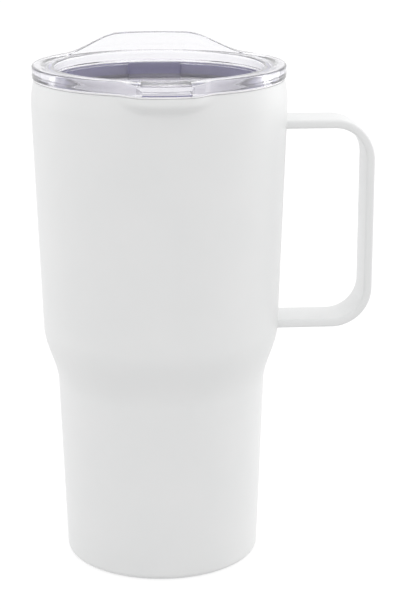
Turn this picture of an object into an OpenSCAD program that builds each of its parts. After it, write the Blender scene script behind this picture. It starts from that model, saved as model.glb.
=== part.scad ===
// Insulated steel tumbler with a side handle and a clear lift-off lid.
// Frame: origin at the middle of the foot, on the table; +Z up, +X towards the handle,
// -Y towards the pour lip. All sizes are in millimetres.

/* [Body outline] */
// Height of the steel rim above the table
rim_z = 182; // [160:1:210]
// Outer radius at the table, before the rolled foot edge is taken off
base_r = 36.4; // [34:0.1:38]
// Radius of the rolled edge round the foot
foot_edge_r = 2.2; // [1.4:0.1:3]
// Outer radius of the cup-holder part, just under the shoulder
neck_r = 38.7; // [37:0.1:41]
// Height at which the shoulder starts to swell
neck_z = 67; // [50:1:75]
// How much narrower the body is just above the shoulder than at its widest place
upper_taper = 2.7; // [1:0.1:4]
// Height at which the shoulder ends
shelf_z = 90; // [80:1:100]
// Largest outer radius, under the rim
mouth_r = 46.6; // [46:0.1:49]
// Height of the largest radius
mouth_z = 172; // [150:1:174]
// How much the wall draws in from the widest place up to the steel rim
rim_draw = 1.3; // [0.5:0.1:2]

/* [Walls] */
// Thickness of the outer shell
shell_wall = 0.7; // [0.5:0.05:1]
// Thickness of the inner liner
liner_wall = 0.6; // [0.4:0.05:0.9]
// Empty space between shell and liner
vacuum_gap = 2.8; // [2:0.1:3.5]
// Thickness of the copper foil on the liner
foil_wall = 0.3; // [0.1:0.05:0.5]
// Height at which the foil starts
foil_low_z = 20; // [15:1:40]
// Height at which the foil ends
foil_high_z = 160; // [120:1:165]
// Height of the bare rolled rim above the coated shell
rim_wall = 0.5; // [0.4:0.1:2]

/* [Base] */
// Height of the drinking floor above the table
floor_z = 12; // [11:0.5:20]
// How far the middle of the drinking floor is dished below its edge
floor_dish = 1.2; // [0.5:0.1:1.5]
// Radius of the dished middle of the drinking floor
floor_dish_r = 26; // [15:1:28]
// Width of the flat foot ring that the mug stands on
foot_ring_w = 3; // [2:0.5:5]
// Thickness of the cover disc under the base
cap_wall = 0.6; // [0.4:0.1:1]
// Height of the vacuum bottom above the table
bottom_z = 4.6; // [4:0.1:5]
// Thickness of the vacuum bottom
bottom_wall = 0.8; // [0.5:0.1:1]
// Height of the upturned edge of the vacuum bottom
bottom_skirt_h = 4; // [2:0.5:6]
// Radius of the raised middle of the vacuum bottom
dimple_r = 6; // [5:0.5:8]
// Height of the raised middle of the vacuum bottom
dimple_h = 1.4; // [1.2:0.1:1.5]
// Radius of the hole that the air was pumped out through
pump_hole_r = 1.5; // [1:0.1:2]
// Extra radius of the head of the sealing bead
bead_lip = 1.6; // [1:0.1:2]
// Thickness of the head of the sealing bead
bead_h = 1; // [0.6:0.1:1.1]

/* [Getter] */
// Radius of the getter pill
pill_r = 4; // [3:0.5:5]
// Thickness of the getter pill
pill_h = 2; // [1:0.1:2.4]
// Distance of the getter from the axis
getter_x = 18; // [16:0.5:20]
// Sheet thickness of the getter clip
clip_wall = 0.4; // [0.3:0.05:0.6]
// Length of the strip of the getter clip
clip_l = 18; // [14:1:20]
// Width of the strip of the getter clip
clip_w = 5; // [3:0.5:7]

/* [Pour lip] */
// How far the pour lip reaches out in front of the rim
lip_reach = 4.6; // [3:0.1:6]
// Half of the angle round the rim that the pour lip takes up
lip_half_a = 22.5; // [18:0.5:26]
// Depth below the rim at which the pour lip fades into the wall
lip_drop = 7.4; // [6:0.1:9]
// Height of the upright band along the top of the pour lip
lip_band = 2.6; // [1.5:0.1:3.5]
// Share of the lip's half width that is full reach
lip_flat = 0.4; // [0.3:0.05:0.5]
// How much nearer the two walls are at the pour lip
lip_pinch = 1.2; // [0:0.1:1.2]

/* [Handle] */
// Width of the handle strap
handle_w = 18; // [12:0.5:24]
// Thickness of the handle strap
handle_t = 3.2; // [2:0.1:4]
// Height of the top face of the upper arm
handle_top_z = 166.6; // [155:0.2:170]
// Height of the under face of the lower arm
handle_low_z = 88.3; // [80:0.2:100]
// Distance from the body's widest place to the outer face of the grip
handle_reach = 31.8; // [27:0.2:42]
// Outer radius of the two bends
handle_bend_r = 15; // [10:0.5:22]
// Radius of the rounded strap edges
handle_edge_r = 1.2; // [0.6:0.1:1.4]

/* [Lid] */
// Height of the clear flange
flange_h = 4.4; // [3.5:0.1:6]
// How far the flange stands out past the steel rim
flange_over = 0.7; // [0.3:0.1:1.2]
// Depth of the recess below the flange's top
recess_depth = 11.2; // [10:0.2:13]
// Wall thickness of the plug that goes into the mug
plug_wall = 2.2; // [1.8:0.1:2.6]
// Thickness of the lid's floor
lid_floor_wall = 2; // [1.5:0.1:3]
// How far the flange's inner ring lies below its outer border
ring_drop = 0.4; // [0.2:0.1:0.8]
// How far the lid's nose stands out past the steel lip
nose_over = 0.5; // [0.3:0.1:1]
// How much the top of the nose slopes down at its tip
nose_droop = 1; // [0.4:0.1:1.2]
// Width of the pour slot under the nose
slot_w = 17; // [10:0.5:20]
// Height of the pour slot under the nose
slot_h = 1.9; // [1:0.1:2.2]
// Width of the shallow notch in the inner edge behind the nose
notch_w = 12; // [8:0.5:16]
// Depth of that notch, downwards and outwards
notch_d = 0.7; // [0.5:0.1:1.5]

/* [Crest and vent] */
// Height of the crest above the flange
crest_h = 6.1; // [4:0.1:10]
// Thickness of the crest, along the radius
crest_wall = 4; // [2.5:0.1:5]
// Width of the flat top of the crest
crest_top_w = 25; // [16:1:36]
// Width of the foot of the crest
crest_foot_w = 69; // [50:1:76]
// Width of the boss under the crest
boss_w = 20; // [14:0.5:26]
// How far the boss stands out of the recess wall
boss_t = 3; // [2.2:0.1:4]
// How far the top of the boss lies below the flange's top
boss_drop = 4.6; // [1:0.1:6]
// Radius of the air vent through the lid's floor
vent_r = 0.8; // [0.6:0.05:1]
// Distance from the front of the boss to the middle of the air vent
vent_ahead = 3; // [2:0.5:6]

/* [Gasket] */
// Height of the silicone gasket
gasket_h = 3.6; // [3:0.1:4]
// How far the gasket's top lies below the flange
gasket_drop = 1.2; // [1:0.1:1.5]
// Depth of the groove that the gasket sits in
groove_d = 1; // [0.6:0.1:1.2]
// Thickness of each sealing fin at its root
fin_t = 0.8; // [0.5:0.1:1]
// Thickness of each sealing fin at its tip
fin_tip_t = 0.5; // [0.3:0.1:0.7]

/* [Fits] */
// Gap left for the weld or solder between two steel pieces
weld_gap = 0.05; // [0.03:0.01:0.1]
// Gap between the lid's flange and the steel rim
seat_gap = 0.2; // [0.15:0.05:0.4]
// Gap between the lid's plug and the liner, which the gasket spans
plug_gap = 2.3; // [1.8:0.1:3]
// Gap between the gasket's fins and the liner
fin_gap = 0.3; // [0.25:0.05:0.5]

/* [Hidden] */
$fn = 180;

wall_stack = shell_wall + vacuum_gap + liner_wall;
shelf_r = mouth_r - upper_taper;
rim_r = mouth_r - rim_draw;
bore_r = mouth_r - wall_stack;
shell_top_z = rim_z - rim_wall;
shoulder_steps = 16;
mouth_steps = 6;
// How deep the edge of a shaped patch is sunk into the wall that it grows out of
blend_sink = 0.25;
lip_rows = 10;
lip_columns = 28;
// What a cutter runs past the face that it cuts
over = 1;

foot_ring_r = outer_r(foot_edge_r) - foot_edge_r - foot_ring_w;
cap_r = outer_r(shell_wall + cap_wall) - foot_edge_r;
bottom_top_z = bottom_z + bottom_wall;
handle_out_x = mouth_r + handle_reach;

flange_z = rim_z + seat_gap;
flange_top_z = flange_z + flange_h;
flange_r = rim_r + flange_over;
plug_r = bore_r - plug_gap;
recess_r = plug_r - plug_wall;
recess_floor_z = flange_top_z - recess_depth;
plug_low_z = recess_floor_z - lid_floor_wall;
nose_reach = rim_r + lip_reach + nose_over - flange_r;
nose_half_a = lip_half_a + 0.5;
border_r = flange_r - crest_wall;
gasket_top_z = flange_z - gasket_drop;
gasket_low_z = gasket_top_z - gasket_h;
fin_r = bore_r - fin_gap;
groove_r = plug_r - groove_d;

// ---- shared outlines ------------------------------------------------------

// Smooth step from 0 to 1
function ease(t) = (1 - cos(180 * min(max(t, 0), 1))) / 2;

// Outer radius of the body at height z
function outer_r(z) =
    z < neck_z ? base_r + (neck_r - base_r) * z / neck_z :
    z < shelf_z ? neck_r + (shelf_r - neck_r) * ease((z - neck_z) / (shelf_z - neck_z)) :
    z < mouth_z ? shelf_r + (mouth_r - shelf_r) * (z - shelf_z) / (mouth_z - shelf_z) :
    mouth_r - (mouth_r - rim_r) * pow((z - mouth_z) / (rim_z - mouth_z), 2);

// Radius of the drinking space at height z; the bore is straight above the widest place
function inner_r(z) = outer_r(min(z, mouth_z)) - wall_stack;

// Heights at which the outline bends, between two heights
function bends(z0, z1) = [
    for (i = [0 : shoulder_steps])
        let (z = neck_z + i * (shelf_z - neck_z) / shoulder_steps)
            if (z > z0 && z < z1) z,
    for (i = [0 : mouth_steps])
        let (z = mouth_z + i * (rim_z - mouth_z) / mouth_steps)
            if (z > z0 && z < z1) z];

function levels(z0, z1) = concat([z0], bends(z0, z1), [z1]);
function outer_line(z0, z1, inset) = [for (z = levels(z0, z1)) [outer_r(z) - inset, z]];
function inner_line(z0, z1, grow) = [for (z = levels(z0, z1)) [inner_r(z) + grow, z]];
function turned(p) = [for (i = [len(p) - 1 : -1 : 0]) p[i]];

// Points of a round corner in an outline
function corner(x, z, r, a0, a1, steps = 8) = [
    for (i = [0 : steps])
        let (a = a0 + (a1 - a0) * i / steps) [x + r * cos(a), z + r * sin(a)]];

// Full reach in the middle of the pour lip, fading to nothing at u = 1
function plateau(u) = 1 - ease((abs(u) - lip_flat) / (1 - lip_flat));

// Share of the pour lip's reach that is left at a depth below the rim
function share_at(depth) = 1 - ease((depth - lip_band) / (lip_drop - lip_band));

// Half angle of the pour lip at a depth below the rim: a U shape seen from the front
function half_at(depth) =
    lip_half_a * max(0.15, sqrt(max(0, 1 - pow(max(depth, 0) / lip_drop, 2))));

// Point at a radius and an angle from the front, -Y
function front_point(r, a) = [r * sin(a), -r * cos(a)];

// The swelling of a wall that makes the pour lip, on the shell or on the liner
module lip_patch(inset, top_z, back, on_bore = false) {
    reach = lip_reach + (on_bore ? lip_pinch : 0) + blend_sink;
    low_z = rim_z - lip_drop;
    rows = [for (j = [0 : lip_rows]) low_z + (top_z - low_z) * j / lip_rows];
    count = lip_columns + 1;
    points = [
        for (z = rows)
            let (depth = max(rim_z - z, 0), half = half_at(depth),
                 wall_r = (on_bore ? inner_r(z) : outer_r(min(z, rim_z))) - inset)
            each concat(
                [for (i = [0 : lip_columns])
                    let (u = 2 * i / lip_columns - 1,
                         swell = reach * share_at(depth) * plateau(u),
                         p = front_point(wall_r - blend_sink + swell, u * half)) [p[0], p[1], z]],
                [for (i = [lip_columns : -1 : 0])
                    let (u = 2 * i / lip_columns - 1,
                         p = front_point(wall_r - back, u * half)) [p[0], p[1], z]])];
    ring = 2 * count;
    sides = [
        for (j = [0 : lip_rows - 1], i = [0 : ring - 1])
            let (a = j * ring + i, b = j * ring + (i + 1) % ring, c = b + ring, d = a + ring)
            each [[a, c, b], [a, d, c]]];
    last = lip_rows * ring;
    caps = [
        for (i = [0 : lip_columns - 1])
            let (a = i, b = i + 1, c = ring - 2 - i, d = ring - 1 - i)
            each [[a, b, c], [a, c, d], [last + a, last + c, last + b], [last + a, last + d, last + c]]];
    polyhedron(points, concat(sides, caps), convexity = 4);
}

// Outline of a nose in front of a circle of radius r, seen from above
module nose_outline(r, reach, half_a, back) {
    outline = [
        for (i = [0 : lip_columns])
            let (u = 2 * i / lip_columns - 1, full = plateau(u))
            front_point(r + reach * full - blend_sink * (1 - full), u * half_a)];
    inner = [
        for (i = [lip_columns : -1 : 0])
            front_point(r - back, (2 * i / lip_columns - 1) * half_a)];
    polygon(concat(outline, inner));
}

// ---- the mug --------------------------------------------------------------

// Deep-drawn outer shell with the rolled foot and the pour lip
module outer_shell() {
    foot_c = outer_r(foot_edge_r) - foot_edge_r;
    outside = concat(
        [[foot_ring_r, 0]],
        corner(foot_c, foot_edge_r, foot_edge_r, -90, 0),
        outer_line(foot_edge_r + 0.01, shell_top_z, 0));
    inside = concat(
        [[foot_ring_r, shell_wall]],
        corner(foot_c, foot_edge_r, foot_edge_r - shell_wall, -90, 0),
        outer_line(foot_edge_r + 0.01, shell_top_z, shell_wall));
    color("whitesmoke") difference() {
        union() {
            rotate_extrude() polygon(concat(outside, turned(inside)));
            lip_patch(0, shell_top_z, shell_wall - 0.2);
        }
        lip_patch(shell_wall, rim_z + over, vacuum_gap);
    }
}

// Liner tube with the rolled rim that closes the top of the double wall
module inner_liner() {
    outside = inner_line(floor_z, shell_top_z, liner_wall);
    rim = [[rim_r, shell_top_z], [rim_r, rim_z]];
    inside = [for (z = concat([floor_z], bends(floor_z, mouth_z), [mouth_z, rim_z])) [inner_r(z), z]];
    color("silver") difference() {
        union() {
            rotate_extrude() polygon(concat(outside, rim, turned(inside)));
            lip_patch(-liner_wall, rim_z - liner_wall, liner_wall - 0.2, true);
            translate([0, 0, shell_top_z]) linear_extrude(rim_wall)
                nose_outline(rim_r, lip_reach, lip_half_a, (rim_r - bore_r) / 2);
        }
        lip_patch(0, rim_z + over, 4, true);
    }
}

// Dished disc welded under the liner tube
module liner_bottom() {
    edge_r = inner_r(floor_z) + liner_wall;
    top = [[0, floor_z - floor_dish], [floor_dish_r - floor_dish, floor_z - floor_dish],
           [floor_dish_r, floor_z], [edge_r, floor_z]];
    under = [for (p = top) [p[0], p[1] - liner_wall]];
    color("silver") rotate_extrude() polygon(concat(under, turned(top)));
}

// Copper foil wrapped round the liner, inside the vacuum
module copper_foil() {
    near = inner_line(foil_low_z, foil_high_z, liner_wall + weld_gap);
    far = inner_line(foil_low_z, foil_high_z, liner_wall + weld_gap + foil_wall);
    color("peru") rotate_extrude() polygon(concat(far, turned(near)));
}

// Bottom of the vacuum space, with a raised middle and the pump hole
module vacuum_bottom() {
    skirt_z = bottom_z + bottom_skirt_h;
    foot_r = outer_r(bottom_z) - shell_wall - weld_gap;
    skirt_r = outer_r(skirt_z) - shell_wall - weld_gap;
    under = [[pump_hole_r, bottom_z + dimple_h], [dimple_r, bottom_z + dimple_h],
             [dimple_r + dimple_h, bottom_z], [foot_r, bottom_z], [skirt_r, skirt_z]];
    top = [[pump_hole_r, bottom_top_z + dimple_h], [dimple_r, bottom_top_z + dimple_h],
           [dimple_r + dimple_h, bottom_top_z], [foot_r - bottom_wall, bottom_top_z],
           [skirt_r - bottom_wall, skirt_z]];
    color("silver") rotate_extrude() polygon(concat(under, turned(top)));
}

// Bead that seals the pump hole, from below
module seal_bead() {
    head_z = bottom_z + dimple_h - bead_h;
    color("dimgray") {
        translate([0, 0, head_z]) cylinder(r = pump_hole_r + bead_lip, h = bead_h, $fn = 48);
        translate([0, 0, head_z])
            cylinder(r = pump_hole_r - weld_gap, h = bead_h + bottom_wall, $fn = 48);
    }
}

// Sheet clip with a cup, spot-welded on the vacuum bottom
module getter_clip() {
    color("gray") translate([getter_x, 0, bottom_top_z]) difference() {
        union() {
            translate([-clip_w / 2, -clip_l / 2, 0]) cube([clip_w, clip_l, clip_wall]);
            cylinder(r = pill_r + weld_gap + clip_wall, h = clip_wall + pill_h / 2, $fn = 48);
        }
        translate([0, 0, clip_wall]) cylinder(r = pill_r + weld_gap, h = pill_h, $fn = 48);
    }
}

// Pill that soaks up the last gas in the vacuum
module getter_pill() {
    color("dimgray") translate([getter_x, 0, bottom_top_z + clip_wall])
        cylinder(r = pill_r, h = pill_h, $fn = 48);
}

// Cover disc that lies on the foot ring, inside the shell
module base_cap() {
    color("gainsboro") translate([0, 0, shell_wall]) cylinder(r = cap_r, h = cap_wall);
}

// ---- the handle -----------------------------------------------------------

// Rounded strap section: t along x, w centred along y
module strap_section() {
    t = handle_t;
    w = handle_w;
    e = handle_edge_r;
    translate([e, -w / 2]) square([t - 2 * e, w]);
    translate([0, -w / 2 + e]) square([t, w - 2 * e]);
    for (x = [e, t - e], y = [-w / 2 + e, w / 2 - e])
        translate([x, y]) circle(r = e, $fn = 32);
}

// One straight arm, from inside the wall to the start of its bend
module handle_arm(low_z) {
    arm_start = neck_r;
    translate([arm_start, 0, low_z + handle_t]) rotate([0, 90, 0])
        linear_extrude(handle_out_x - handle_bend_r - arm_start) strap_section();
}

module handle_bend(z, turn) {
    translate([handle_out_x - handle_bend_r, 0, z]) rotate([90, 0, 0]) rotate([0, 0, turn])
        rotate_extrude(angle = 90, $fn = 96)
            translate([handle_bend_r - handle_t, 0]) strap_section();
}

// Steel strap bent to a D and butt-welded to the shell at both ends
module handle_strap() {
    low_bend_z = handle_low_z + handle_bend_r;
    top_bend_z = handle_top_z - handle_bend_r;
    color("whitesmoke") difference() {
        union() {
            handle_arm(handle_top_z - handle_t);
            handle_arm(handle_low_z);
            handle_bend(top_bend_z, 0);
            handle_bend(low_bend_z, -90);
            translate([handle_out_x - handle_t, 0, low_bend_z])
                linear_extrude(top_bend_z - low_bend_z) strap_section();
        }
        rotate_extrude() polygon(concat(
            [[0, neck_z]], outer_line(neck_z, shell_top_z, -weld_gap), [[0, shell_top_z]]));
    }
}

// ---- the lid --------------------------------------------------------------

// Height of the crest's edge, x millimetres from its middle
function crest_edge(x) =
    crest_h * (1 - ease((abs(x) - crest_top_w / 2) / ((crest_foot_w - crest_top_w) / 2)));

// Bell-shaped crest that grows out of the back of the flange
module lid_crest() {
    steps = 40;
    half = crest_foot_w / 2;
    bell = [for (i = [0 : steps]) let (x = half * (1 - 2 * i / steps)) [x, crest_edge(x)]];
    intersection() {
        translate([0, 0, flange_top_z - over]) cylinder(r = flange_r, h = crest_h + 2 * over);
        translate([0, flange_r + over, flange_top_z]) rotate([90, 0, 0])
            linear_extrude(flange_r)
                polygon(concat([[-half, -over / 2], [half, -over / 2]], bell));
    }
}

// Flat-faced boss on the back wall of the recess
module rear_boss() {
    front_y = recess_r - boss_t;
    intersection() {
        translate([-boss_w / 2, front_y, recess_floor_z - over])
            cube([boss_w, boss_t + plug_wall, recess_depth - boss_drop + over]);
        translate([0, 0, plug_low_z]) cylinder(r = recess_r + plug_wall / 2, h = flange_top_z);
    }
}

// Clear moulded lid: flange with nose and crest, plug, recess floor and rear boss
module lid_body() {
    tip_y = flange_r + nose_reach;
    droop_y = border_r + over;
    droop_a = atan(nose_droop / (tip_y - droop_y));
    vent_y = recess_r - boss_t - vent_ahead;
    color("lavender", 0.5) difference() {
        union() {
            translate([0, 0, flange_z]) linear_extrude(flange_h) {
                circle(r = flange_r);
                nose_outline(flange_r, nose_reach, nose_half_a, crest_wall);
            }
            translate([0, 0, plug_low_z]) cylinder(r = plug_r, h = flange_z - plug_low_z + over);
            lid_crest();
        }
        // the open recess, around the rear boss
        difference() {
            translate([0, 0, recess_floor_z]) cylinder(r = recess_r, h = recess_depth + over);
            rear_boss();
        }
        // inner ring, and the inner face of the crest
        translate([0, 0, flange_top_z - ring_drop])
            cylinder(r = border_r, h = ring_drop + crest_h + over);
        // sloping top of the nose
        translate([0, -droop_y, flange_top_z]) rotate([droop_a, 0, 0])
            translate([-flange_r, -flange_r, 0]) cube([2 * flange_r, flange_r, flange_h]);
        // pour slot, from the plug's wall to the tip of the nose
        translate([-slot_w / 2, -tip_y - over, flange_z - over])
            cube([slot_w, tip_y + over - plug_r, slot_h + over]);
        // shallow notch in the inner edge behind the nose
        translate([-notch_w / 2, -recess_r - notch_d, flange_top_z - ring_drop - notch_d])
            cube([notch_w, recess_r, notch_d + ring_drop + over]);
        // groove for the gasket
        translate([0, 0, gasket_low_z]) difference() {
            cylinder(r = plug_r + over, h = gasket_h);
            translate([0, 0, -over]) cylinder(r = groove_r, h = gasket_h + 2 * over);
        }
        // air vent through the floor
        translate([0, vent_y, plug_low_z - over])
            cylinder(r = vent_r, h = lid_floor_wall + 2 * over, $fn = 32);
    }
}

// Silicone ring with two sealing fins
module lid_gasket() {
    seat_r = groove_r + weld_gap;
    fin_root_r = plug_r - weld_gap;
    gap_h = (gasket_h - 2 * fin_t) / 2;
    low_fin_z = gasket_low_z + gap_h / 2;
    fins = [for (z = [low_fin_z, low_fin_z + gap_h + fin_t])
        each [[fin_root_r, z], [fin_r, z + fin_t - fin_tip_t], [fin_r, z + fin_t],
              [fin_root_r, z + fin_t]]];
    color("white") rotate_extrude() polygon(concat(
        [[seat_r, gasket_low_z], [fin_root_r, gasket_low_z]], fins,
        [[fin_root_r, gasket_top_z], [seat_r, gasket_top_z]]));
}

outer_shell();
inner_liner();
liner_bottom();
copper_foil();
vacuum_bottom();
seal_bead();
getter_clip();
getter_pill();
base_cap();
handle_strap();
lid_body();
lid_gasket();
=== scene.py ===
import math

import bpy
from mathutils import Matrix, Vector


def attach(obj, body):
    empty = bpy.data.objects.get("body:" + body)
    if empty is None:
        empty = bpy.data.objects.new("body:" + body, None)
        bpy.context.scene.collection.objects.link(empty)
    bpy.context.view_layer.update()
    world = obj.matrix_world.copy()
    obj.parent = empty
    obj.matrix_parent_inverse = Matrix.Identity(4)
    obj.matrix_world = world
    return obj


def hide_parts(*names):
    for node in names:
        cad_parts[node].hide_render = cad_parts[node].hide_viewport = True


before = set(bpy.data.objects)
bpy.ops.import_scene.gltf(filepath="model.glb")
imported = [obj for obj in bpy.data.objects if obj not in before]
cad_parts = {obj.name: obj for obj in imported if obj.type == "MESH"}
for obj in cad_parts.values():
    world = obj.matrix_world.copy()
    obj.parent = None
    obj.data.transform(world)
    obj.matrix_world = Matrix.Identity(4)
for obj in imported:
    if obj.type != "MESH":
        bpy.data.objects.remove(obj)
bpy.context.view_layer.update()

# ---- Inner liner ------------------------------------------------------------
# The drinking wall: a stainless tube, deep drawn, whose top is rolled outwards into the rim
# that the lid sits on. It is bare metal, electropolished, with the faint rings of drawing.
# sizes are written in millimetres, and MM turns them to metres
MM = 0.001
RIM_Z = 182.0
MOUTH_Z, MOUTH_R = 172.0, 46.6
RIM_R = 45.3
SHELF_Z, SHELF_R = 90.0, 43.9
NECK_Z, NECK_R = 67.0, 38.7
BASE_R = 36.4
WALL_STACK = 4.1
LINER_WALL = 0.6
RIM_WALL, RIM_ROUND, RIM_TUCK = 0.5, 0.24, 0.6
FLOOR_Z = 12.0
BORE_R = MOUTH_R - WALL_STACK
SHELL_TOP_Z = RIM_Z - RIM_WALL
LIP_REACH, LIP_HALF_ANGLE, LIP_FLAT = 4.57, 22.5, 0.4
LIP_DROP, LIP_BAND, LIP_PINCH = 7.4, 2.6, 1.2
MERGE = 0.004
SMOOTH_ANGLE = math.radians(35)


def ease(t):
    """Smooth step from 0 to 1."""
    return (1 - math.cos(math.pi * min(max(t, 0), 1))) / 2


def outer_radius(z):
    """Outer radius of the body at height z, in millimetres."""
    if z < NECK_Z:
        return BASE_R + (NECK_R - BASE_R) * z / NECK_Z
    if z < SHELF_Z:
        return NECK_R + (SHELF_R - NECK_R) * ease((z - NECK_Z) / (SHELF_Z - NECK_Z))
    if z < MOUTH_Z:
        return SHELF_R + (MOUTH_R - SHELF_R) * (z - SHELF_Z) / (MOUTH_Z - SHELF_Z)
    return MOUTH_R - (MOUTH_R - RIM_R) * ((z - MOUTH_Z) / (RIM_Z - MOUTH_Z)) ** 2


def wall_heights(low, high):
    """Heights of the rings of a wall: close together at the shoulder and under the rim."""
    lip_z = RIM_Z - LIP_DROP - 1
    steps = [(0, NECK_Z, 12), (NECK_Z, SHELF_Z, 1), (SHELF_Z, lip_z, 12), (lip_z, RIM_Z, 0.5)]
    heights = [a + i * step for a, b, step in steps for i in range(round((b - a) / step))]
    return [low] + [z for z in heights if low + 0.2 < z < high - 0.2] + [high]


def arc(x, z, radius, start, end, steps=6):
    """Points of a round corner in an outline, from one angle to another in degrees."""
    angles = [math.radians(start + (end - start) * i / steps) for i in range(steps + 1)]
    return [(x + radius * math.cos(a), z + radius * math.sin(a)) for a in angles]


def turned(name, outline, sides=256):
    """A turned piece: its outline, (radius, height) in mm, drawn round the axis ring by ring."""
    axis_r = 0.01
    outline = [(max(r, axis_r), z) for r, z in outline]
    poles = outline[0][0] == axis_r
    bpy.ops.object.select_all(action="DESELECT")
    bpy.ops.mesh.primitive_circle_add(
        vertices=sides, radius=outline[0][0] * MM, location=(0, 0, outline[0][1] * MM))
    piece = bpy.context.object
    piece.name = piece.data.name = name
    bpy.ops.object.mode_set(mode="EDIT")
    bpy.ops.mesh.select_all(action="SELECT")
    path = outline if poles else outline + outline[:1]
    for (r0, z0), (r1, z1) in zip(path, path[1:]):
        bpy.ops.mesh.extrude_edges_move(
            TRANSFORM_OT_translate={"value": (0, 0, (z1 - z0) * MM)})
        bpy.ops.transform.resize(value=(r1 / r0, r1 / r0, 1), center_override=(0, 0, 0))
    bpy.ops.mesh.select_all(action="SELECT")
    bpy.ops.mesh.remove_doubles(threshold=MERGE * MM)
    bpy.ops.object.mode_set(mode="OBJECT")
    bpy.ops.object.transform_apply(location=True, rotation=True, scale=True)
    if poles:
        for v in piece.data.vertices:
            v.select = math.hypot(v.co.x, v.co.y) < 2 * axis_r * MM
        bpy.ops.object.mode_set(mode="EDIT")
        bpy.ops.mesh.remove_doubles(threshold=5 * axis_r * MM)
        bpy.ops.object.mode_set(mode="OBJECT")
    bpy.ops.object.mode_set(mode="EDIT")
    bpy.ops.mesh.select_all(action="SELECT")
    bpy.ops.mesh.normals_make_consistent(inside=False)
    bpy.ops.object.mode_set(mode="OBJECT")
    bpy.ops.object.shade_smooth_by_angle(angle=SMOOTH_ANGLE)
    return piece


def plateau(u):
    """Full reach in the middle of the pour lip, fading to nothing at u = 1."""
    return 1 - ease((abs(u) - LIP_FLAT) / (1 - LIP_FLAT))


def draw_out_lip(piece):
    """Presses the pour lip outwards in a wall: a U seen from the front, fading downwards.

    The inner wall goes out further than the shell, so the two come together at the lip.
    """
    for v in piece.data.vertices:
        depth = max(RIM_Z - v.co.z / MM, 0)
        if depth < LIP_DROP and v.co.y < 0:
            half = LIP_HALF_ANGLE * max(0.15, math.sqrt(1 - (depth / LIP_DROP) ** 2))
            angle = math.degrees(math.atan2(v.co.x, -v.co.y))
            share = 1 - ease((depth - LIP_BAND) / (LIP_DROP - LIP_BAND))
            inner = v.co.xy.length / MM < BORE_R + 2 * LINER_WALL
            reach = LIP_REACH + (LIP_PINCH if inner else 0)
            v.co.xy += v.co.xy.normalized() * reach * MM * share * plateau(angle / half)


def linear(hex_colour):
    """A colour written as sRGB hex, as the linear RGBA that shaders take."""
    channels = [int(hex_colour[i : i + 2], 16) / 255 for i in (1, 3, 5)]
    return [c / 12.92 if c < 0.04045 else ((c + 0.055) / 1.055) ** 2.4 for c in channels] + [1]


def add(tree, kind, inputs=None, **settings):
    """Adds a shader node with its settings; an input is a value or another node's socket."""
    node = tree.nodes.new("ShaderNode" + kind)
    for name, value in settings.items():
        setattr(node, name, value)
    for name, value in (inputs or {}).items():
        if isinstance(value, bpy.types.NodeSocket):
            tree.links.new(value, node.inputs[name])
        else:
            node.inputs[name].default_value = value
    return node


def new_finish(name):
    """An empty material with a Principled shader: (material, its nodes, the shader)."""
    material = bpy.data.materials.new(name)
    material.use_nodes = True
    return material, material.node_tree, material.node_tree.nodes["Principled BSDF"]


def drawn_steel(name, streak_mm, rough_low, rough_high, around=True):
    """Stainless steel with fine marks: rings round the axis, or circles on a flat disc."""
    material, tree, shader = new_finish(name)
    place = add(tree, "TexCoord").outputs["Object"]
    if around:
        # each mark is about 80 mm long round the axis
        marks = add(tree, "Mapping", {"Vector": place, "Scale": (12, 12, 1 / (streak_mm * MM))})
        streaks = add(tree, "TexNoise", {
            "Vector": marks.outputs["Vector"], "Scale": 1.0, "Detail": 3.0})
    else:
        flat = add(tree, "VectorMath", {0: place, 1: (1, 1, 0)}, operation="MULTIPLY")
        radius = add(tree, "VectorMath", {0: flat.outputs["Vector"]}, operation="LENGTH")
        streaks = add(tree, "TexNoise", {
            "W": radius.outputs["Value"], "Scale": 1 / (streak_mm * MM), "Detail": 3.0},
            noise_dimensions="1D")
    # soft clouds about 17 mm across, where the polish is a shade duller
    cloud = add(tree, "TexNoise", {"Vector": place, "Scale": 60.0, "Detail": 2.0})
    tone = add(tree, "MapRange", {
        "Value": cloud.outputs["Fac"], "To Min": 0.94, "To Max": 1.0})
    colour = add(tree, "Mix", {
        "Factor": tone.outputs["Result"], 6: linear("#ABA9B4"), 7: linear("#DCDAE5")},
        data_type="RGBA")
    tree.links.new(colour.outputs[2], shader.inputs["Base Color"])
    rough = add(tree, "MapRange", {
        "Value": streaks.outputs["Fac"], "From Min": 0.3, "From Max": 0.7,
        "To Min": rough_low, "To Max": rough_high})
    tree.links.new(rough.outputs["Result"], shader.inputs["Roughness"])
    relief = add(tree, "Bump", {
        "Height": streaks.outputs["Fac"], "Strength": 0.12, "Distance": 0.02 * MM})
    tree.links.new(relief.outputs["Normal"], shader.inputs["Normal"])
    shader.inputs["Metallic"].default_value = 1.0
    return material


liner_heights = wall_heights(FLOOR_Z, SHELL_TOP_Z - 0.3)
bore_heights = wall_heights(FLOOR_Z, RIM_Z - RIM_ROUND)
bore = [(outer_radius(min(z, MOUTH_Z)) - WALL_STACK, z) for z in bore_heights]
liner_outline = (
    [(outer_radius(min(z, MOUTH_Z)) - WALL_STACK + LINER_WALL, z) for z in liner_heights]
    + [(RIM_R - RIM_TUCK, SHELL_TOP_Z)]
    + arc(RIM_R - RIM_ROUND, SHELL_TOP_Z + RIM_ROUND, RIM_ROUND, -90, 0, 4)
    + arc(RIM_R - RIM_ROUND, RIM_Z - RIM_ROUND, RIM_ROUND, 0, 90, 4)
    + arc(BORE_R + RIM_ROUND, RIM_Z - RIM_ROUND, RIM_ROUND, 90, 180, 4)
    + bore[-2::-1])
liner = turned("liner_tube", liner_outline)
draw_out_lip(liner)
polished_steel = drawn_steel("electropolished_stainless", 0.6, 0.38, 0.5)
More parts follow.
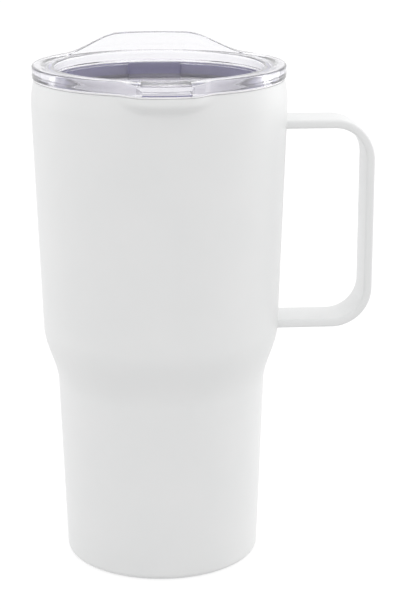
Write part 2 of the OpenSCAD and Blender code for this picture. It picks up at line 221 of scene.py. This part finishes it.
# painted highlight: the rolled rim above the coat is painted lighter and more neutral than the
# wall below it, standing in for the white room it reflects
steel_tree = polished_steel.node_tree
steel_shader = steel_tree.nodes["Principled BSDF"]
wall_tint = steel_shader.inputs["Base Color"].links[0].from_socket
rim_height = add(steel_tree, "SeparateXYZ", {
    "Vector": add(steel_tree, "TexCoord").outputs["Object"]}).outputs["Z"]
# mask of the painted rim highlight: nought 0.2 mm under the coat's top, one from there up over
# the rim
rim_highlight_mask = add(steel_tree, "MapRange", {
    "Value": rim_height, "From Min": (SHELL_TOP_Z - 0.2) * MM, "From Max": SHELL_TOP_Z * MM})
rim_highlight_tint = add(steel_tree, "Mix", {
    "Factor": rim_highlight_mask.outputs["Result"], 6: wall_tint, 7: linear("#F6F5F6")}, data_type="RGBA")
steel_tree.links.new(rim_highlight_tint.outputs[2], steel_shader.inputs["Base Color"])
liner.data.materials.append(polished_steel)
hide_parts("inner_liner")
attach(liner, "mug")

# ---- Liner floor --------------------------------------------------------------
# The dished disc welded under the liner tube. It is the floor of the drinking space, pressed
# from the same stainless sheet, with a rounded step down to the dish.
FLOOR_DISH, FLOOR_DISH_R, DISH_STEP_W = 1.2, 26.0, 2.4
floor_edge_r = outer_radius(FLOOR_Z) - WALL_STACK + LINER_WALL
dish_z, dish_r = FLOOR_Z - FLOOR_DISH, FLOOR_DISH_R - DISH_STEP_W
dish_step = [(dish_r + 0.4 * i, dish_z + FLOOR_DISH * ease(i / 6)) for i in range(1, 7)]
dish_top = ([(0, dish_z), (12, dish_z), (dish_r, dish_z)] + dish_step
            + [(floor_edge_r - 0.3, FLOOR_Z)])
dish_under = [(r, z - LINER_WALL) for r, z in dish_top]
liner_floor = turned("liner_floor", dish_under + [
    (floor_edge_r, FLOOR_Z - LINER_WALL + 0.2), (floor_edge_r, FLOOR_Z - 0.2)] + dish_top[::-1])
liner_floor.data.materials.append(drawn_steel("pressed_stainless", 0.5, 0.38, 0.5, around=False))
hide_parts("liner_bottom")
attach(liner_floor, "mug")

# ---- Copper foil ----------------------------------------------------------------
# Thin rolled copper wrapped round the liner inside the vacuum, to send radiated heat back. It
# keeps its CAD form, and shows the fine lines of rolling and a few duller patches.


def refinish(node_name, material):
    """Gives a CAD node that keeps its own form a better material."""
    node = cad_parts[node_name]
    node.data.materials.clear()
    node.data.materials.append(material)


foil_metal, foil_tree, foil_shader = new_finish("rolled_copper_foil")
foil_place = add(foil_tree, "TexCoord").outputs["Object"]
# rolling lines 0.4 mm apart and about 25 mm long, and duller patches about 14 mm across
foil_marks = add(foil_tree, "Mapping", {"Vector": foil_place, "Scale": (40, 40, 1 / (0.4 * MM))})
foil_lines = add(foil_tree, "TexNoise", {
    "Vector": foil_marks.outputs["Vector"], "Scale": 1.0, "Detail": 3.0})
foil_dull = add(foil_tree, "TexNoise", {"Vector": foil_place, "Scale": 1 / (14 * MM)})
foil_tint = add(foil_tree, "Mix", {
    "Factor": foil_dull.outputs["Fac"], 6: linear("#C98B6B"), 7: linear("#DDA98B")},
    data_type="RGBA")
foil_rough = add(foil_tree, "MapRange", {
    "Value": foil_lines.outputs["Fac"], "To Min": 0.2, "To Max": 0.4})
foil_tree.links.new(foil_tint.outputs[2], foil_shader.inputs["Base Color"])
foil_tree.links.new(foil_rough.outputs["Result"], foil_shader.inputs["Roughness"])
foil_shader.inputs["Metallic"].default_value = 1.0
refinish("copper_foil", foil_metal)

# ---- Vacuum bottom and getter clip ------------------------------------------------
# The disc that closes the vacuum space from below, and the sheet clip spot-welded on it. Both
# are pressed from stainless sheet and keep their CAD form, as they are closed in for good.
sheet_steel = drawn_steel("mill_finish_stainless", 0.35, 0.26, 0.4, around=False)
refinish("vacuum_bottom", sheet_steel)
refinish("getter_clip", sheet_steel)

# ---- Sealing bead and getter pill ---------------------------------------------------
# A bead of solder glass, fused from below over the pump hole, and a pill of sintered getter
# powder. The glass is mid grey and glossy, and the pill is matt and grainy.


def grainy(name, dark, light, grain_mm, rough_low, rough_high, depth_mm):
    """A solid with a grain: two tones, roughness and relief from one noise."""
    material, tree, shader = new_finish(name)
    place = add(tree, "TexCoord").outputs["Object"]
    grain = add(tree, "TexNoise", {
        "Vector": place, "Scale": 1 / (grain_mm * MM), "Detail": 3.0})
    tint = add(tree, "Mix", {
        "Factor": grain.outputs["Fac"], 6: linear(dark), 7: linear(light)}, data_type="RGBA")
    tree.links.new(tint.outputs[2], shader.inputs["Base Color"])
    rough = add(tree, "MapRange", {
        "Value": grain.outputs["Fac"], "To Min": rough_low, "To Max": rough_high})
    tree.links.new(rough.outputs["Result"], shader.inputs["Roughness"])
    relief = add(tree, "Bump", {
        "Height": grain.outputs["Fac"], "Strength": 0.4, "Distance": depth_mm * MM})
    tree.links.new(relief.outputs["Normal"], shader.inputs["Normal"])
    return material


refinish("seal_bead", grainy(
    "fused_solder_glass", "#7E7E82", "#9A9AA0", 0.9, 0.06, 0.2, 0.02))
refinish("getter_pill", grainy(
    "sintered_getter", "#808082", "#98989B", 0.25, 0.6, 0.85, 0.05))

# ---- Outer shell -----------------------------------------------------------------
# The outside wall: a deep-drawn steel shell with a stepped cup-holder foot, a rolled foot edge
# and the pressed pour lip. It is powder coated: a baked, satin white skin with a fine peel.
SHELL_WALL = 0.7
FOOT_ROUND, FOOT_RING_W = 2.2, 3.0
# the coat stops at a fine seam under the bare rim
TOP_ROUND, SEAM = 0.35, 0.08
coat_top_z = SHELL_TOP_Z - SEAM
foot_c = outer_radius(FOOT_ROUND) - FOOT_ROUND
shell_heights = wall_heights(FOOT_ROUND + 0.4, coat_top_z - TOP_ROUND)
shell_outline = (
    [(foot_c - FOOT_RING_W, 0.2), (foot_c - FOOT_RING_W + 0.2, 0)]
    + arc(foot_c, FOOT_ROUND, FOOT_ROUND, -90, 0, 10)
    + [(outer_radius(z), z) for z in shell_heights]
    + arc(outer_radius(coat_top_z) - TOP_ROUND, coat_top_z - TOP_ROUND, TOP_ROUND, 20, 90, 5)
    + [(outer_radius(z) - SHELL_WALL, z) for z in [coat_top_z] + shell_heights[::-1]]
    + arc(foot_c, FOOT_ROUND, FOOT_ROUND - SHELL_WALL, 0, -90, 6)
    + [(foot_c - FOOT_RING_W, SHELL_WALL)])
shell = turned("outer_shell_coated", shell_outline)
draw_out_lip(shell)


def powder_coat():
    """Baked polyester powder coat: satin, near white, with a fine orange peel."""
    material, tree, shader = new_finish("satin_powder_coat")
    place = add(tree, "TexCoord").outputs["Object"]
    # the coat's thickness drifts over about 22 mm, and its white with it
    cloud = add(tree, "TexNoise", {"Vector": place, "Scale": 45.0, "Detail": 3.0})
    tint = add(tree, "Mix", {
        "Factor": cloud.outputs["Fac"], 6: linear("#EBECEC"), 7: linear("#F1F1F1")},
        data_type="RGBA")
    tree.links.new(tint.outputs[2], shader.inputs["Base Color"])
    # orange peel about 1.4 mm across, with a finer grain of 0.35 mm on it
    peel = add(tree, "TexNoise", {"Vector": place, "Scale": 1 / (1.4 * MM), "Detail": 2.0})
    grain = add(tree, "TexNoise", {"Vector": place, "Scale": 1 / (0.35 * MM), "Detail": 1.0})
    height = add(tree, "Mix", {
        "Factor": 0.3, 2: peel.outputs["Fac"], 3: grain.outputs["Fac"]}, data_type="FLOAT")
    relief = add(tree, "Bump", {
        "Height": height.outputs[0], "Strength": 0.25, "Distance": 0.03 * MM})
    tree.links.new(relief.outputs["Normal"], shader.inputs["Normal"])
    rough = add(tree, "MapRange", {
        "Value": grain.outputs["Fac"], "To Min": 0.36, "To Max": 0.44})
    tree.links.new(rough.outputs["Result"], shader.inputs["Roughness"])
    shader.inputs["IOR"].default_value = 1.5
    return material


white_coat = powder_coat()
shell.data.materials.append(white_coat)
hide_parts("outer_shell")
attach(shell, "mug")

# ---- Base cover ----------------------------------------------------------------------
# A thin stainless disc that closes the underside, inside the foot ring. It is spun, so it
# shows fine circles, and its edge is pressed down in a shallow step.
CAP_R, CAP_Z, CAP_WALL = outer_radius(1.3) - FOOT_ROUND, SHELL_WALL, 0.6
cap_under = [(0, CAP_Z + 0.12), (26.4, CAP_Z + 0.12), (26.8, CAP_Z + 0.1), (27.6, CAP_Z + 0.02),
             (28.0, CAP_Z), (CAP_R - 0.3, CAP_Z)]
cap_top = [(CAP_R, CAP_Z + 0.2), (CAP_R, CAP_Z + CAP_WALL - 0.2), (CAP_R - 0.2, CAP_Z + CAP_WALL),
           (0, CAP_Z + CAP_WALL)]
cover = turned("base_cover", cap_under + cap_top)
cover.data.materials.append(drawn_steel("spun_stainless", 0.25, 0.26, 0.42, around=False))
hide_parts("base_cap")
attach(cover, "mug")

# ---- Handle ----------------------------------------------------------------------------
# A flat steel strap with rounded edges, bent to a D and butt-welded to the shell at both
# ends. The powder coat runs over it and rounds the two small weld fillets.
HANDLE_W, HANDLE_T, EDGE_ROUND = 18.0, 3.2, 1.2
HANDLE_TOP_Z, HANDLE_LOW_Z = 166.6, 88.3
HANDLE_OUT_X, BEND_R = 78.4, 15.0
# each weld is a small quarter-round fillet, and the strap's last 4 mm are fitted to the wall
WELD_FILLET, WELD_GAP, STUB = 0.5, 0.05, 4
FILLET_STEPS, BEND_STEPS = 4, 20
bend_x = HANDLE_OUT_X - BEND_R
low_z, top_z = HANDLE_LOW_Z + HANDLE_T / 2, HANDLE_TOP_Z - HANDLE_T / 2
wall_x = outer_radius(low_z)
bpy.ops.object.select_all(action="DESELECT")
bpy.ops.mesh.primitive_plane_add(
    size=1, location=(wall_x * MM, 0, low_z * MM), rotation=(0, math.pi / 2, 0))
strap = bpy.context.object
strap.name = strap.data.name = "handle"
bpy.ops.object.transform_apply(location=True, rotation=True, scale=True)
bpy.ops.object.mode_set(mode="EDIT")
bpy.ops.mesh.select_all(action="SELECT")
bpy.ops.transform.resize(
    value=(1, HANDLE_W * MM, HANDLE_T * MM), center_override=(wall_x * MM, 0, low_z * MM))
bpy.ops.mesh.bevel(offset=EDGE_ROUND * MM, segments=6, affect="VERTICES")
bpy.ops.mesh.delete(type="ONLY_FACE")
bpy.ops.mesh.select_all(action="SELECT")


def flare(centre, extra):
    """Widens the selected strap section by the same amount all round."""
    bpy.ops.transform.resize(
        value=(1, 1 + 2 * extra / HANDLE_W, 1 + 2 * extra / HANDLE_T), center_override=centre)


def draw_strap(dx, dz):
    """Extrudes the end of the strap by a distance in mm."""
    bpy.ops.mesh.extrude_edges_move(TRANSFORM_OT_translate={"value": (dx * MM, 0, dz * MM)})


turn = [math.radians(90 * i / FILLET_STEPS) for i in range(FILLET_STEPS + 1)]
fillet = [WELD_FILLET * (1 - math.sin(a)) for a in turn]
fillet_x = [WELD_FILLET * (1 - math.cos(a)) for a in turn]
low_centre = (wall_x * MM, 0, low_z * MM)
flare(low_centre, fillet[0])
for i in range(1, FILLET_STEPS + 1):
    draw_strap(fillet_x[i] - fillet_x[i - 1], 0)
    flare(low_centre, (fillet[i] - fillet[i - 1]) / (1 + 2 * fillet[i - 1] / HANDLE_T))
draw_strap(STUB, 0)
draw_strap(bend_x - wall_x - WELD_FILLET - STUB, 0)
bend_low = (bend_x * MM, 0, (HANDLE_LOW_Z + BEND_R) * MM)
bend_top = (bend_x * MM, 0, (HANDLE_TOP_Z - BEND_R) * MM)
bpy.ops.mesh.spin(steps=BEND_STEPS, angle=math.pi / 2, center=bend_low, axis=(0, 1, 0))
draw_strap(0, HANDLE_TOP_Z - HANDLE_LOW_Z - 2 * BEND_R)
bpy.ops.mesh.spin(steps=BEND_STEPS, angle=math.pi / 2, center=bend_top, axis=(0, 1, 0))
top_wall_x = outer_radius(top_z)
draw_strap(top_wall_x + WELD_FILLET + STUB - bend_x, 0)
draw_strap(-STUB, 0)
top_centre = (top_wall_x * MM, 0, top_z * MM)
for i in range(FILLET_STEPS - 1, -1, -1):
    draw_strap(fillet_x[i] - fillet_x[i + 1], 0)
    flare(top_centre, (fillet[i] - fillet[i + 1]) / (1 + 2 * fillet[i + 1] / HANDLE_T))
bpy.ops.mesh.select_all(action="SELECT")
bpy.ops.mesh.remove_doubles(threshold=MERGE * MM)
bpy.ops.mesh.select_all(action="DESELECT")
bpy.ops.mesh.select_non_manifold()
bpy.ops.mesh.fill_holes(sides=0)
bpy.ops.mesh.select_all(action="SELECT")
bpy.ops.mesh.normals_make_consistent(inside=False)
bpy.ops.object.mode_set(mode="OBJECT")
# both ends are fitted to the round wall, a weld gap away from it
for v in strap.data.vertices:
    middle_x = wall_x if v.co.z / MM < (low_z + top_z) / 2 else top_wall_x
    near = max(0, 1 - (v.co.x / MM - middle_x) / (WELD_FILLET + STUB))
    wall_here = math.sqrt(outer_radius(v.co.z / MM) ** 2 - (v.co.y / MM) ** 2)
    v.co.x += (wall_here - middle_x - WELD_GAP) * min(near, 1) * MM
bpy.ops.object.shade_smooth_by_angle(angle=SMOOTH_ANGLE)
strap.data.materials.append(white_coat)
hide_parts("handle_strap")
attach(strap, "mug")

# ---- Lid ---------------------------------------------------------------------------------
# One clear moulding in copolyester: a thick flange with a nose over the pour lip, a recess
# with a flat boss at the back, a plug with the gasket's groove, and the raised crest.
SEAT_GAP, FLANGE_H, FLANGE_R = 0.08, 4.52, 46.0
RECESS_R, RECESS_DEPTH = 38.0, 11.2
PLUG_WALL, LID_FLOOR = 2.2, 2.0
BORDER_R, RING_DROP = 42.0, 0.4
NOSE_REACH, NOSE_HALF_ANGLE, NOSE_DROOP = 4.35, 23.0, 1.0
CREST_H, CREST_TOP_W, CREST_FOOT_W = 6.1, 25.0, 69.0
SLOT_W, SLOT_H = 17.0, 2.02
NOTCH_W, NOTCH_D = 12.0, 0.7
BOSS_W, BOSS_T, BOSS_DROP = 20.0, 3.0, 4.6
VENT_R, VENT_AHEAD = 0.8, 3.0
RECESS_EDGE, LOW_EDGE, FLANGE_EDGE_LOW, FLANGE_EDGE_TOP = 0.9, 1.2, 0.4, 0.6
BOSS_EDGE, CUT_EDGE, GROOVE_EDGE = 1.2, 0.3, 0.1
GASKET_H, GASKET_DROP, GROOVE_D = 3.6, 1.08, 1.0
LID_MERGE, LID_SMOOTH = 0.002, math.radians(30)
flange_z = RIM_Z + SEAT_GAP
flange_top = flange_z + FLANGE_H
ring_top = flange_top - RING_DROP
recess_z = flange_top - RECESS_DEPTH
plug_z = recess_z - LID_FLOOR
plug_r = RECESS_R + PLUG_WALL
groove_top = flange_z - GASKET_DROP
groove_low = groove_top - GASKET_H
lid_outline = (
    [(r, plug_z) for r in (0, 10, 20, 30)]
    + arc(plug_r - LOW_EDGE, plug_z + LOW_EDGE, LOW_EDGE, -90, 0)
    + [(plug_r, groove_low - GROOVE_EDGE), (plug_r - GROOVE_EDGE, groove_low),
       (plug_r - GROOVE_D, groove_low), (plug_r - GROOVE_D, groove_top),
       (plug_r - GROOVE_EDGE, groove_top), (plug_r, groove_top + GROOVE_EDGE),
       (plug_r, flange_z - 0.25), (plug_r + 0.25, flange_z)]
    + [(r, flange_z) for r in (41.5, 43, 44.5)]
    + arc(FLANGE_R - FLANGE_EDGE_LOW, flange_z + FLANGE_EDGE_LOW, FLANGE_EDGE_LOW, -90, 0, 4)
    + [(FLANGE_R, flange_z + 1.2), (FLANGE_R, flange_z + 2.4)]
    + arc(FLANGE_R - FLANGE_EDGE_TOP, flange_top - FLANGE_EDGE_TOP, FLANGE_EDGE_TOP, 0, 90, 6)
    + [(44.6, flange_top), (43.8, flange_top)]
    + [(BORDER_R + 0.9 - 0.3 * i, ring_top + RING_DROP * ease(1 - i / 6)) for i in range(7)]
    + [(40.3, ring_top), (39.5, ring_top)]
    + arc(RECESS_R + RECESS_EDGE, ring_top - RECESS_EDGE, RECESS_EDGE, 90, 180, 8)
    + [(RECESS_R, z) for z in (184, 182, 180, 178)]
    + arc(RECESS_R - LOW_EDGE, recess_z + LOW_EDGE, LOW_EDGE, 0, -90)
    + [(r, recess_z) for r in (30, 20, 10, 0)])
lid = turned("lid_moulding", lid_outline)


def shape_flange(piece):
    """Draws the nose out at the front of the flange and raises the crest at its back."""
    for v in piece.data.vertices:
        x, y, z = v.co / MM
        radius = math.hypot(x, y)
        if y < 0 and z > flange_z - 0.01 and radius > BORDER_R - 0.5:
            angle = math.degrees(math.atan2(x, -y))
            share = min((radius - BORDER_R + 0.5) / (FLANGE_R - BORDER_R - 1), 1)
            v.co.xy *= 1 + NOSE_REACH * share * plateau(angle / NOSE_HALF_ANGLE) / radius
            past = max(0, -v.co.y / MM - BORDER_R - 1)
            top = min(max((z - flange_z - 0.6) / (FLANGE_H - 1.4), 0), 1)
            v.co.z -= NOSE_DROOP * MM * top * past / (FLANGE_R + NOSE_REACH - BORDER_R - 1)
        elif y > 0 and z > ring_top + 0.05 and radius > BORDER_R - 0.01:
            rise = 1 - ease((abs(x) - CREST_TOP_W / 2) / ((CREST_FOOT_W - CREST_TOP_W) / 2))
            v.co.z += CREST_H * MM * rise


def block(low, high, edge):
    """A block between two corners in mm, with rounded edges, to cut or add with."""
    size = [b - a for a, b in zip(low, high)]
    centre = [(a + b) / 2 * MM for a, b in zip(low, high)]
    bpy.ops.object.select_all(action="DESELECT")
    bpy.ops.mesh.primitive_cube_add(size=MM, location=centre, scale=size)
    cube = bpy.context.object
    bpy.ops.object.transform_apply(location=True, rotation=True, scale=True)
    bpy.ops.object.mode_set(mode="EDIT")
    bpy.ops.mesh.select_all(action="SELECT")
    bpy.ops.mesh.bevel(offset=edge * MM, segments=4, affect="EDGES")
    bpy.ops.object.mode_set(mode="OBJECT")
    return cube


def pick(piece):
    """Selects one piece alone and makes it active."""
    bpy.ops.object.select_all(action="DESELECT")
    bpy.context.view_layer.objects.active = piece
    piece.select_set(True)


def combine(piece, tool, operation):
    """Applies a cut or a join to a piece and removes the tool."""
    pick(piece)
    change = piece.modifiers.new(operation.lower(), "BOOLEAN")
    change.operation, change.solver, change.object = operation, "EXACT", tool
    bpy.ops.object.modifier_apply(modifier=change.name)
    bpy.data.objects.remove(tool)


shape_flange(lid)
boss_y = RECESS_R - BOSS_T
combine(lid, block((-BOSS_W / 2, boss_y, recess_z - 1),
                   (BOSS_W / 2, plug_r - 0.6, flange_top - BOSS_DROP), BOSS_EDGE), "UNION")
tip_y = FLANGE_R + NOSE_REACH
combine(lid, block((-SLOT_W / 2, -tip_y - 2, flange_z - 2),
                   (SLOT_W / 2, -plug_r, flange_z + SLOT_H), CUT_EDGE), "DIFFERENCE")
combine(lid, block((-NOTCH_W / 2, -RECESS_R - NOTCH_D, ring_top - NOTCH_D),
                   (NOTCH_W / 2, -RECESS_R + 4, ring_top + 2), CUT_EDGE), "DIFFERENCE")
bpy.ops.object.select_all(action="DESELECT")
bpy.ops.mesh.primitive_cylinder_add(
    vertices=32, radius=VENT_R * MM, depth=2 * LID_FLOOR * MM,
    location=(0, (boss_y - VENT_AHEAD) * MM, (recess_z - LID_FLOOR / 2) * MM))
combine(lid, bpy.context.object, "DIFFERENCE")
pick(lid)
bpy.ops.object.mode_set(mode="EDIT")
bpy.ops.mesh.select_all(action="SELECT")
bpy.ops.mesh.remove_doubles(threshold=LID_MERGE * MM)
bpy.ops.object.mode_set(mode="OBJECT")
bpy.ops.object.shade_smooth_by_angle(angle=LID_SMOOTH)


def clear_copolyester():
    """Clear moulded plastic with a faint violet cast; lamps reach through it."""
    material, tree, shader = new_finish("clear_copolyester")
    place = add(tree, "TexCoord").outputs["Object"]
    flow = add(tree, "TexNoise", {"Vector": place, "Scale": 1 / (9 * MM), "Detail": 1.0})
    tint = add(tree, "Mix", {
        "Factor": flow.outputs["Fac"], 6: linear("#FDFDFE"), 7: linear("#FFFFFF")},
        data_type="RGBA")
    # the slow waves that the melt leaves on a thick moulding, about 9 mm apart
    relief = add(tree, "Bump", {
        "Height": flow.outputs["Fac"], "Strength": 0.15, "Distance": 0.1 * MM})
    tree.links.new(relief.outputs["Normal"], shader.inputs["Normal"])
    # the recess's floor is etched: from just over its top face down, the plastic turns matt
    # and hazy
    height = add(tree, "SeparateXYZ", {"Vector": place}).outputs["Z"]
    etched = add(tree, "MapRange", {
        "Value": height, "From Min": (recess_z + 0.8) * MM, "From Max": (recess_z + 0.2) * MM})
    rough = add(tree, "MapRange", {
        "Value": etched.outputs["Result"], "To Min": 0.02, "To Max": 0.35})
    clearness = add(tree, "MapRange", {
        "Value": etched.outputs["Result"], "To Min": 0.95, "To Max": 0.32})
    cast = add(tree, "Mix", {
        "Factor": etched.outputs["Result"], 6: tint.outputs[2], 7: linear("#F6F4FA")},
        data_type="RGBA")
    tree.links.new(cast.outputs[2], shader.inputs["Base Color"])
    tree.links.new(rough.outputs["Result"], shader.inputs["Roughness"])
    tree.links.new(clearness.outputs["Result"], shader.inputs["Transmission Weight"])
    shader.inputs["IOR"].default_value = 1.54
    see_through = add(tree, "BsdfTransparent", {"Color": linear("#F4F3F8")})
    lamp = add(tree, "LightPath").outputs["Is Shadow Ray"]
    both = add(tree, "MixShader", {0: lamp, 1: shader.outputs[0], 2: see_through.outputs[0]})
    tree.links.new(both.outputs[0], tree.nodes["Material Output"].inputs["Surface"])
    # the plastic itself takes up a little red and green, so a long way through it looks violet
    depth = add(tree, "VolumeAbsorption", {"Color": linear("#D0CCE1"), "Density": 18.0})
    tree.links.new(depth.outputs[0], tree.nodes["Material Output"].inputs["Volume"])
    return material


lid.data.materials.append(clear_copolyester())
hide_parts("lid_body")
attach(lid, "lid")

# ---- Gasket ---------------------------------------------------------------------------------
# A moulded silicone ring, translucent and soft, that sits in the plug's groove. Its two fins
# press on the liner and hold the lid in.
FIN_T, FIN_TIP_T, FIN_GAP, FIT = 0.8, 0.5, 0.3, 0.05
seat_r, root_r, fin_r = plug_r - GROOVE_D + FIT, plug_r - FIT, BORE_R - FIN_GAP
gap_h = (GASKET_H - 2 * FIN_T) / 2
fin_lows = (groove_low + gap_h / 2, groove_low + gap_h * 1.5 + FIN_T)
fin_points = [p for z in fin_lows for p in (
    [(root_r, z)]
    + arc(fin_r - FIN_TIP_T / 2, z + FIN_T - FIN_TIP_T / 2, FIN_TIP_T / 2, -90, 90, 5)
    + [(root_r, z + FIN_T)])]
gasket = turned("gasket_ring", [(seat_r, groove_low), (root_r, groove_low)] + fin_points
                + [(root_r, groove_top), (seat_r, groove_top)], sides=192)


def silicone():
    """Translucent food-grade silicone: smoky violet-grey, soft, with a matt moulded skin."""
    material, tree, shader = new_finish("moulded_silicone")
    place = add(tree, "TexCoord").outputs["Object"]
    skin = add(tree, "TexNoise", {"Vector": place, "Scale": 1 / (0.5 * MM), "Detail": 2.0})
    tint = add(tree, "Mix", {
        "Factor": skin.outputs["Fac"], 6: linear("#BFBBE0"), 7: linear("#CDC9EE")},
        data_type="RGBA")
    tree.links.new(tint.outputs[2], shader.inputs["Base Color"])
    rough = add(tree, "MapRange", {"Value": skin.outputs["Fac"], "To Min": 0.42, "To Max": 0.55})
    tree.links.new(rough.outputs["Result"], shader.inputs["Roughness"])
    relief = add(tree, "Bump", {
        "Height": skin.outputs["Fac"], "Strength": 0.2, "Distance": 0.02 * MM})
    tree.links.new(relief.outputs["Normal"], shader.inputs["Normal"])
    shader.inputs["IOR"].default_value = 1.41
    shader.inputs["Transmission Weight"].default_value = 0.3
    return material


gasket.data.materials.append(silicone())
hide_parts("lid_gasket")
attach(gasket, "lid")

# ---- Studio ---------------------------------------------------------------------------------
# A pale floor, a white room and soft lamps. The camera stands 0.63 m in front of the mug and
# 0.27 m up, looking down a little, and the picture is 406 by 610.
# the floor glows most of the way to white where it is seen, and keeps the mug's shadow
FLOOR_GLOW, FLOOR_BOUNCE = 0.75, 0.17
ROOM_WHITE, ROOM_LIGHT = 1.0, 0.96
# name, place, aim, width in metres and power in watts
LAMPS = (
    ("left_softbox", (-0.85, 0.35, 0.30), (0, 0, 0.10), 0.7, 0.85),
    ("right_softbox", (0.85, 0.35, 0.30), (0, 0, 0.10), 0.7, 2.0),
    ("top_softbox", (0.0, 0.15, 1.10), (0, 0, 0.10), 0.8, 0.65),
    ("back_softbox", (0.1, 0.90, 0.60), (0, 0, 0.15), 0.8, 0.2))
CAMERA_AT = (-0.0330, -0.6305, 0.2749)
CAMERA_DOWN, CAMERA_LEFT = 15.841, 4.431
FOCAL_PX, PICTURE_H, SENSOR_W = 1747.7, 610, 36


def seen_white(tree):
    """One where the camera, a reflection or clear plastic shows it, nought where it lights."""
    path = add(tree, "LightPath").outputs
    first = add(tree, "Math", {
        0: path["Is Camera Ray"], 1: path["Is Glossy Ray"]}, operation="MAXIMUM")
    return add(tree, "Math", {
        0: first.outputs[0], 1: path["Is Transmission Ray"]}, operation="MAXIMUM").outputs[0]


bpy.context.scene.view_settings.view_transform = "Standard"
bpy.ops.object.select_all(action="DESELECT")
bpy.ops.mesh.primitive_plane_add(size=24, location=(0, 0, -0.1 * MM))
ground = bpy.context.object
ground.name = "floor"
floor_paint, floor_tree, floor_shader = new_finish("pale_floor")
floor_shader.inputs["Roughness"].default_value = 0.9
floor_shader.inputs["Specular IOR Level"].default_value = 0.0
floor_seen = seen_white(floor_tree)
glow = add(floor_tree, "MapRange", {
    "Value": floor_seen, "To Min": FLOOR_BOUNCE, "To Max": FLOOR_GLOW})
floor_tone = add(floor_tree, "Mix", {
    "Factor": floor_seen, 6: linear("#BFBFBF"), 7: linear("#9A9A9A")}, data_type="RGBA")
floor_tree.links.new(floor_tone.outputs[2], floor_shader.inputs["Base Color"])
floor_shader.inputs["Emission Color"].default_value = (1, 1, 1, 1)
floor_tree.links.new(glow.outputs["Result"], floor_shader.inputs["Emission Strength"])
ground.data.materials.append(floor_paint)

room = bpy.data.worlds.new("white_room")
bpy.context.scene.world = room
room.use_nodes = True
room_tree = room.node_tree
room_tree.nodes.clear()
room_light = add(room_tree, "MapRange", {
    "Value": seen_white(room_tree), "To Min": ROOM_LIGHT, "To Max": ROOM_WHITE})
sky = add(room_tree, "Background", {
    "Color": (1, 1, 1, 1), "Strength": room_light.outputs["Result"]})
add(room_tree, "OutputWorld", {"Surface": sky.outputs[0]})

for lamp_name, place, aim, size, watts in LAMPS:
    bpy.ops.object.light_add(type="AREA", location=place)
    lamp = bpy.context.object
    lamp.name = lamp.data.name = lamp_name
    lamp.data.size, lamp.data.energy = size, watts
    lamp.rotation_euler = (Vector(aim) - Vector(place)).to_track_quat("-Z", "Y").to_euler()

bpy.ops.object.camera_add(location=CAMERA_AT, rotation=(
    math.radians(90 - CAMERA_DOWN), 0, math.radians(-CAMERA_LEFT)))
camera = bpy.context.object
camera.data.sensor_width = SENSOR_W
camera.data.lens = SENSOR_W * FOCAL_PX / PICTURE_H
camera.data.clip_start = 0.01
bpy.context.scene.camera = camera
